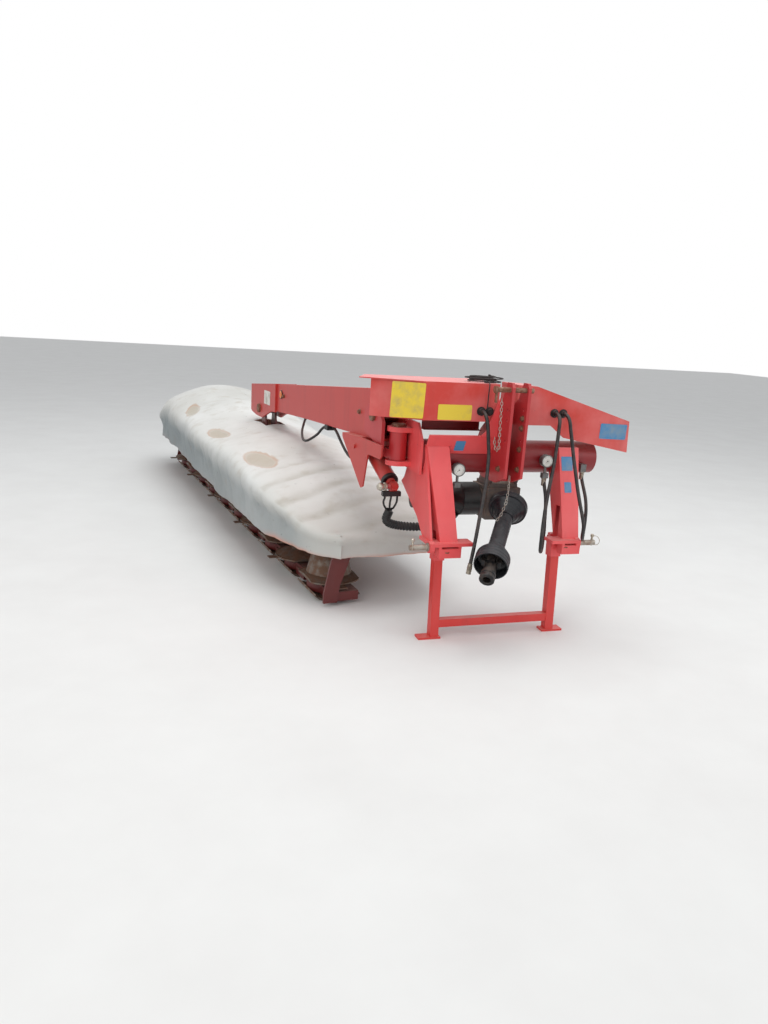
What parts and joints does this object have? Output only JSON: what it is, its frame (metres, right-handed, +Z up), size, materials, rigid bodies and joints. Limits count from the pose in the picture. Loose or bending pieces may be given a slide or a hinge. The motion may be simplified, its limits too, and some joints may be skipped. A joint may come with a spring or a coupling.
{
  "type": "mounted disc mower",
  "caption": "Rear-mounted disc mower with a swinging, lifting arm that carries a row of cutting discs under a cloth cover, parked on its stand with the arm to the rear.",
  "frame": {"origin": "middle of the lower hitch axis, between the shoulders of the two lower hitch pins, 0.49 m above the floor", "axes": "+X along the lower hitch axis to the right as seen from the tractor looking back, +Y to the rear, +Z up"},
  "size_m": [2.2068, 5.1321, 1.2983],
  "materials": {
    "red_paint": "semi-gloss red enamel, faded, with scuffs",
    "pin_steel": "zinc plated pin, dull",
    "worn_steel": "bare steel, worn and lightly rusted",
    "chrome_rod": "polished hard chrome",
    "gauge_steel": "plated gauge case and fittings",
    "black_rubber": "smooth black hose rubber",
    "black_plastic": "matte black moulded guard",
    "rope_black": "braided black cord",
    "cast_iron": "dark painted casting",
    "disc_steel": "dark worn disc paint",
    "tarpaulin": "coated pale grey tarpaulin, dirty"
  },
  "bodies": {
    "headstock": {"cross_tube": "red_paint", "pivot_ears": "red_paint", "swing_pin": "pin_steel", "mast": "red_paint", "top_link_pin": "pin_steel", "leg_left": "red_paint", "leg_right": "red_paint", "hitch_pins": "worn_steel", "tube_saddle": "red_paint", "hood": "red_paint", "hose_guard": "red_paint", "grommets": "black_rubber", "hydraulic_ports": "gauge_steel", "input_gearbox": "cast_iron", "transmission_guard": "black_plastic", "pto_guard": "black_plastic", "hose_left": "black_rubber", "hose_coupler": "pin_steel", "hose_middle": "black_rubber", "hose_right": "black_rubber", "control_rope": "rope_black", "rope_heap": "rope_black"},
    "stand": {"stand": "red_paint"},
    "pto_drive": {"pto_shaft": "cast_iron"},
    "swing": {"knuckle": "red_paint", "lift_pin": "pin_steel"},
    "cylinder_barrel": {"cylinder_barrel": "red_paint"},
    "cylinder_rod": {"cylinder_rod": "chrome_rod"},
    "arm": {"arm_beam": "red_paint", "arm_bracket": "red_paint", "arm_end": "red_paint", "float_pin": "pin_steel"},
    "unit": {"cutter_bar": "cast_iron", "skids": "worn_steel", "bar_gearbox": "cast_iron", "carrier_beam": "red_paint", "guard_frame": "red_paint", "cover": "tarpaulin"},
    "disc_1": {"disc_1": "disc_steel"},
    "disc_2": {"disc_2": "disc_steel"},
    "disc_3": {"disc_3": "disc_steel"},
    "disc_4": {"disc_4": "disc_steel"},
    "disc_5": {"disc_5": "disc_steel"},
    "disc_6": {"disc_6": "disc_steel"},
    "disc_7": {"disc_7": "disc_steel"},
    "disc_8": {"disc_8": "disc_steel"},
    "disc_9": {"disc_9": "disc_steel"},
    "disc_10": {"disc_10": "disc_steel"}
  },
  "joints": [
    {"name": "stand_slide", "type": "slide", "parent": "headstock", "child": "stand", "axis": [0, 0.061, 0.9981], "range_m": [0, 0.14]},
    {"name": "pto_spin", "type": "hinge", "parent": "headstock", "child": "pto_drive", "pos_m": [0.091, 0.182, 0.159], "axis": [-0.515, -0.7368, -0.438], "continuous": true},
    {"name": "arm_swing", "type": "hinge", "parent": "headstock", "child": "swing", "pos_m": [-0.475, 0.37, 0.41], "axis": [0, 0, 1], "range_deg": [0, 82.5]},
    {"name": "arm_lift", "type": "hinge", "parent": "swing", "child": "arm", "pos_m": [-0.49197, 0.49889, 0.57], "axis": [0.9914, 0.1305, 0], "range_deg": [0, 25]},
    {"name": "cylinder_tilt", "type": "hinge", "parent": "swing", "child": "cylinder_barrel", "pos_m": [-0.4942, 0.3473, 0.225], "axis": [0.9914, 0.1305, 0], "range_deg": [0, 6.61]},
    {"name": "cylinder_stroke", "type": "slide", "parent": "cylinder_barrel", "child": "cylinder_rod", "axis": [-0.1172, 0.8901, 0.4405], "range_m": [0, 0.0999]},
    {"name": "unit_tilt", "type": "hinge", "parent": "arm", "child": "unit", "pos_m": [-0.76868, 2.60075, 0.345], "axis": [0.9914, 0.1305, 0], "range_deg": [-4, 4]},
    {"name": "disc_1_spin", "type": "hinge", "parent": "unit", "child": "disc_1", "pos_m": [-0.70098, 0.78405, -0.396], "axis": [0, 0, 1], "continuous": true},
    {"name": "disc_2_spin", "type": "hinge", "parent": "unit", "child": "disc_2", "pos_m": [-0.7558, 1.20045, -0.396], "axis": [0, 0, 1], "continuous": true},
    {"name": "disc_3_spin", "type": "hinge", "parent": "unit", "child": "disc_3", "pos_m": [-0.81062, 1.61686, -0.396], "axis": [0, 0, 1], "continuous": true},
    {"name": "disc_4_spin", "type": "hinge", "parent": "unit", "child": "disc_4", "pos_m": [-0.86544, 2.03327, -0.396], "axis": [0, 0, 1], "continuous": true},
    {"name": "disc_5_spin", "type": "hinge", "parent": "unit", "child": "disc_5", "pos_m": [-0.92026, 2.44967, -0.396], "axis": [0, 0, 1], "continuous": true},
    {"name": "disc_6_spin", "type": "hinge", "parent": "unit", "child": "disc_6", "pos_m": [-0.97508, 2.86608, -0.396], "axis": [0, 0, 1], "continuous": true},
    {"name": "disc_7_spin", "type": "hinge", "parent": "unit", "child": "disc_7", "pos_m": [-1.0299, 3.28249, -0.396], "axis": [0, 0, 1], "continuous": true},
    {"name": "disc_8_spin", "type": "hinge", "parent": "unit", "child": "disc_8", "pos_m": [-1.08472, 3.69889, -0.396], "axis": [0, 0, 1], "continuous": true},
    {"name": "disc_9_spin", "type": "hinge", "parent": "unit", "child": "disc_9", "pos_m": [-1.13955, 4.1153, -0.396], "axis": [0, 0, 1], "continuous": true},
    {"name": "disc_10_spin", "type": "hinge", "parent": "unit", "child": "disc_10", "pos_m": [-1.19437, 4.53171, -0.396], "axis": [0, 0, 1], "continuous": true}
  ],
  "couplings": [
    {"joint": "cylinder_tilt", "follows": "arm_lift", "ratio": 0.2637},
    {"joint": "cylinder_stroke", "follows": "arm_lift", "m_per_rad": 0.22792},
    {"joint": "disc_2_spin", "follows": "disc_1_spin", "ratio": -1},
    {"joint": "disc_3_spin", "follows": "disc_1_spin", "ratio": 1},
    {"joint": "disc_4_spin", "follows": "disc_1_spin", "ratio": -1},
    {"joint": "disc_5_spin", "follows": "disc_1_spin", "ratio": 1},
    {"joint": "disc_6_spin", "follows": "disc_1_spin", "ratio": -1},
    {"joint": "disc_7_spin", "follows": "disc_1_spin", "ratio": 1},
    {"joint": "disc_8_spin", "follows": "disc_1_spin", "ratio": -1},
    {"joint": "disc_9_spin", "follows": "disc_1_spin", "ratio": 1},
    {"joint": "disc_10_spin", "follows": "disc_1_spin", "ratio": -1}
  ]
}
